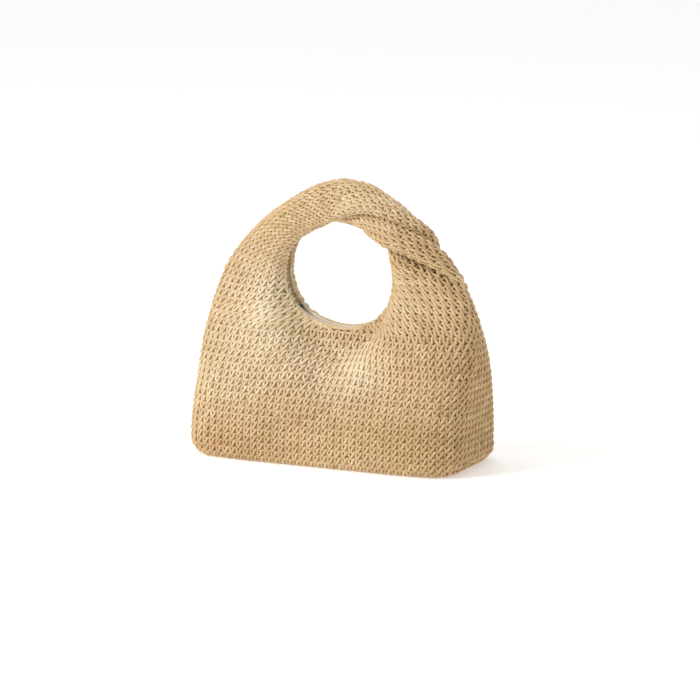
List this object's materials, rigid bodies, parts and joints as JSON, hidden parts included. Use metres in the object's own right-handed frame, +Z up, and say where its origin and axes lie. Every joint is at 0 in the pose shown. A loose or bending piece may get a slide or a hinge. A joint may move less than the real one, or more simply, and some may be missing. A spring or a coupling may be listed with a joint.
{
  "type": "hobo bag",
  "caption": "Crocheted straw hobo bag with a boxed base, panels that rise into a twisted loop handle round a hand hole, a cream lining and a magnetic snap.",
  "frame": {"origin": "centre of the underside of the base, on the surface that the bag stands on", "axes": "+Z up, +X across the bag's width, -Y towards the front"},
  "size_m": [0.3484, 0.147, 0.3304],
  "materials": {
    "straw": "crocheted paper straw, matt with a slight sheen",
    "lining": "plain woven cotton, cream",
    "board": "pressed fibre board",
    "cotton": "twisted cotton",
    "snap_metal": "satin plated",
    "magnet": "sintered, dark",
    "zip_tape": "woven tape",
    "zip_coil": "moulded nylon"
  },
  "bodies": {
    "bag": {"front_panel": "straw", "back_panel": "straw", "base_panel": "straw", "mouth_edge_front": "straw", "mouth_edge_back": "straw", "lining_front": "lining", "lining_back": "lining", "lining_base": "lining", "pocket_pouch": "lining", "base_board": "board", "base_seam": "cotton", "side_seam_left": "cotton", "side_seam_right": "cotton", "snap_patch_front": "cotton", "snap_patch_back": "cotton", "snap_socket": "snap_metal", "snap_stud": "snap_metal", "snap_washer_front": "snap_metal", "snap_washer_back": "snap_metal", "zip_stop_left": "snap_metal", "zip_stop_right": "snap_metal", "snap_magnet": "magnet", "zip_tape_lower": "zip_tape", "zip_tape_upper": "zip_tape", "zip_coil_lower": "zip_coil", "zip_coil_upper": "zip_coil"},
    "handle": {"handle_left": "straw", "handle_right": "straw", "handle_core": "cotton", "handle_seam": "cotton"},
    "zip_slider_body": {"zip_slider": "snap_metal"},
    "zip_pull_body": {"zip_pull": "snap_metal"}
  },
  "joints": [
    {"name": "handle_fold", "type": "hinge", "parent": "bag", "child": "handle", "pos_m": [0, 0, 0.182], "axis": [1, 0, 0], "range_deg": [-40, 40]},
    {"name": "zip_slide", "type": "slide", "parent": "bag", "child": "zip_slider_body", "axis": [1, 0, 0], "range_m": [0, 0.12]},
    {"name": "pull_swing", "type": "hinge", "parent": "zip_slider_body", "child": "zip_pull_body", "pos_m": [-0.06, 0.0365, 0.083], "axis": [0, 1, 0], "range_deg": [-80, 80]}
  ]
}
